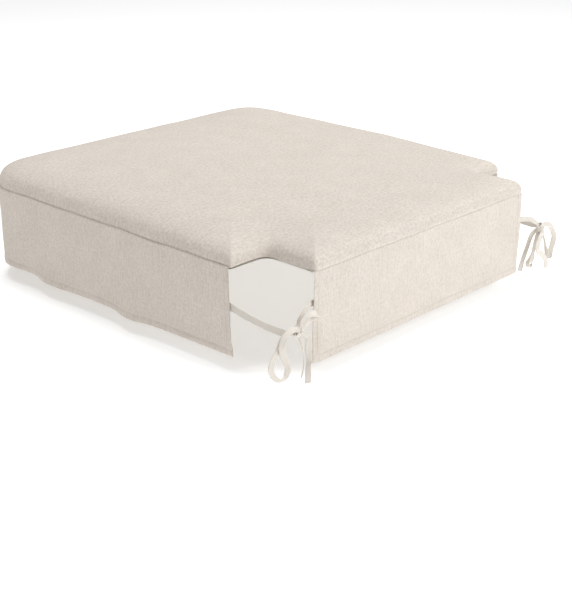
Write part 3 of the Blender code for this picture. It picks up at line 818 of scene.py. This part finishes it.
def add_filling():
    """Foam core and the wadding wrapped over it, hidden inside the cover."""
    rings = crown_rings(offset_profile(WADDING_IN, 0.0042), count=20)
    x, y = rings[..., 0], rings[..., 1]
    rings[..., 2] += 0.3 * MM * ripple(x, y, 0.018, 21) * step(rings[..., 2], 0.008, 0.016)
    ring = rings.shape[1]
    faces = grid_faces(rings.shape[0], ring, wrap=True)
    faces.append(tuple(range((rings.shape[0] - 1) * ring, rings.size // 3)))
    wadding = mesh_object("wadding", rings.reshape(-1, 3), faces)
    thicken(wadding, WADDING_THICK)
    dress(wadding, "wadding", "wadding_wrap")
    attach(wadding, "pad")
    core = crown_rings(offset_profile(CORE_IN, 0.0046), CORE_EDGE, 18)
    foam = dress(closed_form("foam_core", core), "foam", "foam_pad")
    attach(foam, "pad")


LINING_IN = 0.0012         # lining's edge, in from the skirt's face
LINING_THICK = 0.0005


def add_lining():
    """Calico underside, its edge held in the seam and the middle hanging very slightly loose."""
    rings = []
    for inset in (0.0, 0.0012, 0.004, 0.009, 0.016, 0.026, 0.040, 0.060, 0.085, 0.115, 0.140):
        flat = plan(LINING_IN + inset)
        rings.append(np.column_stack([flat, np.full(len(flat), 0.0005)]))
    last = rings[-1]
    middle = last.mean(axis=0)
    rings += [middle + (last - middle) * k for k in (0.8, 0.6, 0.4, 0.2, 0.03)]
    rings = np.array(rings)
    x, y = rings[..., 0], rings[..., 1]
    free = np.ones(rings.shape[:2])
    free[0] = 0.0
    rings[..., 2] += MM * (0.35 * ripple(x, y, 0.090, 31) + 0.12 * ripple(x, y, 0.030, 32) - 0.3) * free
    ring = rings.shape[1]
    faces = [f[::-1] for f in grid_faces(len(rings), ring, wrap=True)]
    faces.append(tuple(range((len(rings) - 1) * ring, rings.size // 3))[::-1])
    piece = mesh_object("lining", rings.reshape(-1, 3), faces, rings[..., :2].reshape(-1, 2))
    thicken(piece, LINING_THICK)
    dress(piece, "lining_calico", "underside_lining")
    edge = plan(LINING_IN)
    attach(piece, "pad")


# ---- skirts -----------------------------------------------------------------

COLUMN_PITCH = 0.0024      # spacing of the columns of points across a skirt
SIDE_BEAD = 0.0012         # how far the side skirt's fold stands up at the seam
BACK_BEAD = 0.0004


def side_path():
    """Plan points and outward directions of the side skirt, left slit round to right slit."""
    pts = [(HALF_WIDTH, SLIT_Y)]
    side_from = -FRONT + CORNER_R
    pts += line((HALF_WIDTH, SLIT_Y), (HALF_WIDTH, side_from), 180)
    pts += arc(HALF_WIDTH - CORNER_R, side_from, CORNER_R, 0, -90, 48)
    mirrored = [(-x, y) for x, y in reversed(pts)]
    pts = np.array(pts + line(pts[-1], mirrored[0], 160) + mirrored)
    ahead = np.gradient(pts, axis=0)
    ahead /= np.linalg.norm(ahead, axis=1, keepdims=True)
    return pts, np.stack([-ahead[:, 1], ahead[:, 0]], axis=1), lengths(pts)


SIDE_POINTS, SIDE_NORMALS, SIDE_RUN = side_path()
SIDE_LENGTH = SIDE_RUN[-1]

# (distance from the left slit, how far the hem swings out in mm)
SWING = [(0.000, -3.2), (0.060, -3.1), (0.115, -2.2), (0.131, -0.6), (0.148, 4.3), (0.166, 2.6),
         (0.184, -2.4), (0.212, -2.6), (0.260, -1.3), (0.280, 0.5), (0.296, 2.4), (0.308, 0.6),
         (0.320, -3.0), (0.336, -4.2), (0.356, -1.2), (0.380, 0.4), (0.460, 0.2), (0.520, 2.2),
         (0.590, -1.6), (0.660, 1.2), (0.720, -2.2), (0.800, 0.3), (0.900, 0.2), (0.945, -2.8),
         (0.985, 2.6), (1.030, -2.4), (1.090, 2.8), (1.140, -1.8), (1.200, -3.0), (1.280, -3.2)]

# (distance from the left slit, how far the hem is drawn up in mm)
LIFT = [(0.000, 2.2), (0.058, 1.2), (0.147, 0.5), (0.180, 1.0), (0.210, 1.8), (0.275, 0.5),
        (0.312, 1.5), (0.333, 3.5), (0.357, 4.0), (0.450, 3.4), (0.540, 1.6), (0.660, 0.9),
        (0.760, 1.6), (0.860, 3.0), (0.930, 2.6), (0.990, 0.8), (1.080, 1.6), (1.160, 0.6),
        (1.280, 2.0)]


def between(stops, run):
    """Value at a distance along a list of stops, with its corners softened."""
    places, values = zip(*stops)
    return sum(np.interp(run + shift * MM, places, values) for shift in (-8, -4, 0, 4, 8)) / 5


def side_swing(run, z):
    """How far the side skirt's outer face stands out of its plan line."""
    down = np.clip(-z / DROP, 0.0, 1.0)
    loose = down ** 2.2
    out = between(SWING, run) * loose
    out = out + 0.4 * ripple(run, z * 0.15, 0.045, 61) * loose
    out = out + 0.25 * ripple(run, z, 0.020, 62) * down
    out = out + hem_relief(run, z)
    return out * MM


def hem_relief(run, z):
    """Dimple of the top-stitch row and the slight fullness of the turned hem, in mm."""
    line_z = -DROP + STITCH_UP
    gathers = 0.10 * np.sin(run * 2 * math.pi / 0.0062)
    return (-0.42 + gathers) * hump(z, line_z, 0.0014) + 0.22 * hump(z, -DROP + 0.0035, 0.0035)


def side_surface(run, z, depth=0.0):
    """Point of the side skirt at a distance along it, a height and a depth inwards."""
    x = np.interp(run, SIDE_RUN, SIDE_POINTS[:, 0])
    y = np.interp(run, SIDE_RUN, SIDE_POINTS[:, 1])
    nx = np.interp(run, SIDE_RUN, SIDE_NORMALS[:, 0])
    ny = np.interp(run, SIDE_RUN, SIDE_NORMALS[:, 1])
    out = side_swing(run, z) - depth
    up = between(LIFT, run) * MM * np.clip(-z / DROP, 0.0, 1.0) ** 1.5
    up = up + seam_lift(x, y) * step(z, -0.02, 0.0)
    return np.stack([x + nx * out, y + ny * out, z + up], axis=-1)


def back_swing(x, z):
    """How far the back skirt's outer face stands out behind its seam."""
    down = np.clip(-z / DROP, 0.0, 1.0)
    loose = down ** 1.5
    out = (0.9 * ripple(x, z * 0.2, 0.120, 71) + 0.30 * ripple(x, z, 0.035, 72)) * loose
    out = out - 2.6 * step(x, BACK_HALF - 0.012, BACK_HALF + 0.001) * step(down, 0.25, 0.9)
    out = out - 0.9 * step(-x, BACK_HALF - 0.014, BACK_HALF + 0.001) * step(down, 0.3, 1.0)
    out = out + hem_relief(x, z)
    return out * MM


def back_width(z):
    """Half width of the back skirt, a little fuller at mid height than at its hem."""
    return BACK_HALF + 0.0008 * hump(z, -0.45 * DROP, 0.6 * DROP) - 0.0006 * step(-z, 0.5 * DROP, DROP)


def back_surface(share, z, depth=0.0):
    """Point of the back skirt at a share of its half width, a height and a depth inwards."""
    x = share * back_width(z)
    height = z + seam_lift(x, REAR) * step(z, -0.02, 0.0)
    return np.stack([x, REAR + back_swing(x, z) - depth, height], axis=-1)


def skirt_section(bead):
    """Section of a skirt as (height, depth, cloth run): allowance, seam bead, face, turned hem."""
    top = [(0.0016, ALLOWANCE), (0.0016, 0.0055), (0.0016, 0.0024), (0.0016 + bead, 0.0018),
           (0.0016 + bead, 0.0010), (0.0013 + bead * 0.8, 0.0002), (0.0008, -bead * 0.3), (0.0, 0.0)]
    face = [(z, 0.0) for z in np.linspace(-0.0015, -DROP + HEM + 0.004, 26)]
    face += [(z, 0.0) for z in np.linspace(-DROP + HEM + 0.002, -DROP + 0.0006, 13)]
    fold = [(-DROP, LAYER), (-DROP + 0.0006, 2 * LAYER)]
    inside = [(z, 2 * LAYER) for z in np.linspace(-DROP + 0.002, -DROP + HEM - 0.0004, 5)]
    turned = [(-DROP + HEM, 1.5 * LAYER), (-DROP + HEM - 0.0005, LAYER), (-DROP + 0.0025, LAYER)]
    section = np.array(top + face + fold + inside + turned)
    return np.column_stack([section, lengths(section)])


def folded_columns(length):
    """(position, share turned under) of columns across a skirt with both side edges turned."""
    main = np.linspace(0.0, length, int(length / COLUMN_PITCH) + 1)
    start = [(SLIT_HEM, 1.0), (SLIT_HEM * 0.66, 1.0), (SLIT_HEM * 0.33, 1.0), (0.0006, 1.0), (-0.0001, 0.5)]
    end = [(length - place, share) for place, share in reversed(start)]
    return np.array(start + [(place, 0.0) for place in main] + end)


def skirt_grid(length, surface, bead):
    """Points and cloth coordinates of a skirt with its hem and both slit edges turned under."""
    section = skirt_section(bead)
    columns = folded_columns(length)
    run = np.broadcast_to(columns[None, :, 0], (len(section), len(columns)))
    turned = np.broadcast_to(columns[None, :, 1], run.shape)
    z = np.broadcast_to(section[:, None, 0], run.shape)
    depth = np.broadcast_to(section[:, None, 1], run.shape)
    in_hem = 1 - step(z, -DROP + HEM, -DROP + HEM + 0.012)
    bundle = LAYER * (1 + 4 * in_hem)
    at_top = step(z, -0.003, 0.0005)
    flipped = (bundle - depth) * (1 - at_top) + (depth + 0.5 * LAYER) * at_top
    points = surface(run, z, depth * (1 - turned) + flipped * turned)
    across = lengths(np.column_stack([columns[:, 0], columns[:, 1] * 0.001]))
    cloth = np.stack(np.broadcast_arrays(across[None, :], -section[:, None, 2]), axis=-1)
    return points, cloth


def add_side_skirt():
    """One strip of cloth from slit to slit, round the front."""
    points, cloth = skirt_grid(SIDE_LENGTH, side_surface, SIDE_BEAD)
    piece = grid_object("side_skirt_cloth", points, cloth, CLOTH)
    dress(piece, "skirt_linen", "side_skirt")
    height = float(skirt_section(0.0)[-1, 2])
    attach(piece, "pad")


def add_back_skirt():
    """The cloth between the posts."""
    def surface(run, z, depth):
        return back_surface(1 - run / BACK_HALF, z, depth)
    points, cloth = skirt_grid(2 * BACK_HALF, surface, BACK_BEAD)
    piece = grid_object("back_skirt_cloth", points, cloth, CLOTH, flip=True)
    dress(piece, "skirt_linen", "back_skirt")
    height = float(skirt_section(0.0)[-1, 2])
    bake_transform(piece)


# ---- stitching --------------------------------------------------------------

HEM_STITCH = 0.0031        # length of one stitch with its gap
SEAM_STITCH = 0.0035
TACK_STITCH = 0.0014
TACK_TURNS = 17            # points of a bar tack's zigzag
STITCH_SIDES = 6           # sides of a stitch's thread


def stitches(name, path, outward, pitch, node, size=(0.0005, 0.00035)):
    """A row of separate stitches lying on the cloth along a path."""
    run = lengths(path)
    count = int(run[-1] / pitch)
    verts, faces = [], []
    shares = np.array([0.0, 0.12, 0.5, 0.88, 1.0])
    lift = np.array([-0.3, 0.5, 1.0, 0.5, -0.3])
    thin = np.array([0.35, 1.0, 1.0, 1.0, 0.35])
    around = np.radians(np.arange(STITCH_SIDES) * 360 / STITCH_SIDES)
    shape = grid_faces(len(shares), STITCH_SIDES, wrap=True)
    ends = (len(shares) - 1) * STITCH_SIDES
    shape += [tuple(range(STITCH_SIDES))[::-1], tuple(range(ends, ends + STITCH_SIDES))]
    for k in range(count):
        stops = (k + 0.08 + 0.80 * shares) * run[-1] / count
        at = np.stack([np.interp(stops, run, path[:, i]) for i in range(3)], axis=1)
        out = np.stack([np.interp(stops, run, outward[:, i]) for i in range(3)], axis=1)
        along = at[-1] - at[0]
        side = np.cross(out, along)
        side /= np.linalg.norm(side, axis=1, keepdims=True)
        base = len(verts)
        for r in range(len(shares)):
            for a in around:
                offset = side[r] * math.cos(a) * size[0] / 2 * thin[r]
                offset = offset + out[r] * (math.sin(a) * size[1] / 2 * thin[r] + lift[r] * size[1] / 2)
                verts.append(at[r] + offset)
        faces += [tuple(base + i for i in face) for face in shape]
    return dress(mesh_object(name, verts, faces), "thread", node)


def surface_row(surface, run, z):
    """Path and outward directions of a row of points on a skirt's face."""
    path = surface(run, z)
    outward = path - surface(run, z, 0.001)
    return path, outward / np.linalg.norm(outward, axis=1, keepdims=True)


def stitch_route(low, high):
    """(position, height) of the top-stitch row: down one slit edge, along the hem and up the other."""
    level = -DROP + STITCH_UP
    down = [(low, z) for z in np.linspace(-0.006, level, 24)]
    along = [(r, level) for r in np.linspace(low, high, 400)]
    up = [(high, z) for z in np.linspace(level, -0.006, 24)]
    return np.array(down + along[1:-1] + up)


def add_stitching():
    """Top-stitching of both hems, and the pad seam's row on the turned-in cloth."""
    route = stitch_route(STITCH_IN, SIDE_LENGTH - STITCH_IN)
    path, outward = surface_row(side_surface, route[:, 0], route[:, 1])
    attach(stitches("side_hem_stitches", path, outward, HEM_STITCH, "side_hem_thread"), "pad")
    reach = 1 - STITCH_IN / BACK_HALF
    route = stitch_route(-reach, reach)
    path, outward = surface_row(back_surface, route[:, 0], route[:, 1])
    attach(stitches("back_hem_stitches", path, outward, HEM_STITCH, "back_hem_thread"), "back_flap")
    ring = pad_ring(0.0072, 0.0029)
    ring = np.vstack([ring, ring[:1]])
    ring[:, 2] += seam_lift(ring[:, 0], ring[:, 1])
    up = np.tile([0.0, 0.0, 1.0], (len(ring), 1))
    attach(stitches("pad_seam_stitches", ring, up, SEAM_STITCH, "pad_seam_thread"), "pad")


def add_tacks():
    """Zigzag bar tacks that hold each tie's sewn end."""
    for side, name in ((1.0, "left"), (-1.0, "right")):
        for place, body in (("side", "pad"), ("back", "back_flap")):
            low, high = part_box(name + "_" + place + "_tack")
            middle = (low + high) / 2
            z = np.linspace(low.z, high.z, TACK_TURNS)
            swing = np.where(np.arange(TACK_TURNS) % 2, 0.0007, -0.0007)
            if place == "side":
                path = np.column_stack([np.full(TACK_TURNS, middle.x), middle.y + swing, z])
                inwards = [-side, 0.0, 0.0]
            else:
                path = np.column_stack([middle.x + swing, np.full(TACK_TURNS, middle.y), z])
                inwards = [0.0, -1.0, 0.0]
            piece = stitches(name + "_" + place + "_tack_stitches", path, np.tile(inwards, (TACK_TURNS, 1)),
                             TACK_STITCH, name + "_" + place + "_tack")
            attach(piece, body)


# ---- studio -----------------------------------------------------------------

def area_light(name, location, size, power, colour):
    """Soft rectangular light aimed at the seat."""
    data = bpy.data.lights.new(name, "AREA")
    data.shape = "RECTANGLE"
    data.size, data.size_y = size
    data.energy = power
    data.color = colour
    lamp = bpy.data.objects.new(name, data)
    bpy.context.scene.collection.objects.link(lamp)
    lamp.location = location
    lamp.rotation_euler = (-Vector(location)).to_track_quat("-Z", "Y").to_euler()


def add_studio():
    """Pale floor, even white surround, and soft light from behind the seat and from above."""
    floor_z = CAD_BOX[0].z - 0.002
    floor = mesh_object("floor", [(-9, -9, floor_z), (9, -9, floor_z), (9, 9, floor_z), (-9, 9, floor_z)],
                        [(0, 1, 2, 3)])
    mat, bsdf = new_material("floor_pale", 0.9)
    n = Nodes(mat)
    place = n.add("TexCoord").outputs["Object"]
    tone = n.noise(place, 3.0, 2.0)
    n.link(n.mix(tone, (0.93, 0.93, 0.93, 1.0), (0.90, 0.90, 0.90, 1.0)), bsdf.inputs["Base Color"])
    bsdf.inputs["Emission Color"].default_value = (1.0, 1.0, 1.0, 1.0)
    bsdf.inputs["Emission Strength"].default_value = 0.38
    floor.data.materials.append(mat)
    world = bpy.data.worlds.new("surround")
    bpy.context.scene.world = world
    world.use_nodes = True
    world.node_tree.nodes["Background"].inputs["Color"].default_value = (1.0, 1.0, 1.0, 1.0)
    world.node_tree.nodes["Background"].inputs["Strength"].default_value = 0.36
    area_light("key", (-0.9, 2.4, 1.5), (1.8, 1.4), 40.5, (0.96, 0.99, 1.0))
    area_light("overhead", (-0.05, -0.3, 2.3), (1.3, 1.3), 33.0, (1.0, 1.0, 1.0))
    bpy.context.scene.view_settings.view_transform = "Standard"


def main():
    add_camera()
    add_ties()
    add_cover()
    add_filling()
    add_lining()
    add_side_skirt()
    add_back_skirt()
    add_stitching()
    add_tacks()
    add_studio()
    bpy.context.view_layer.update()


main()
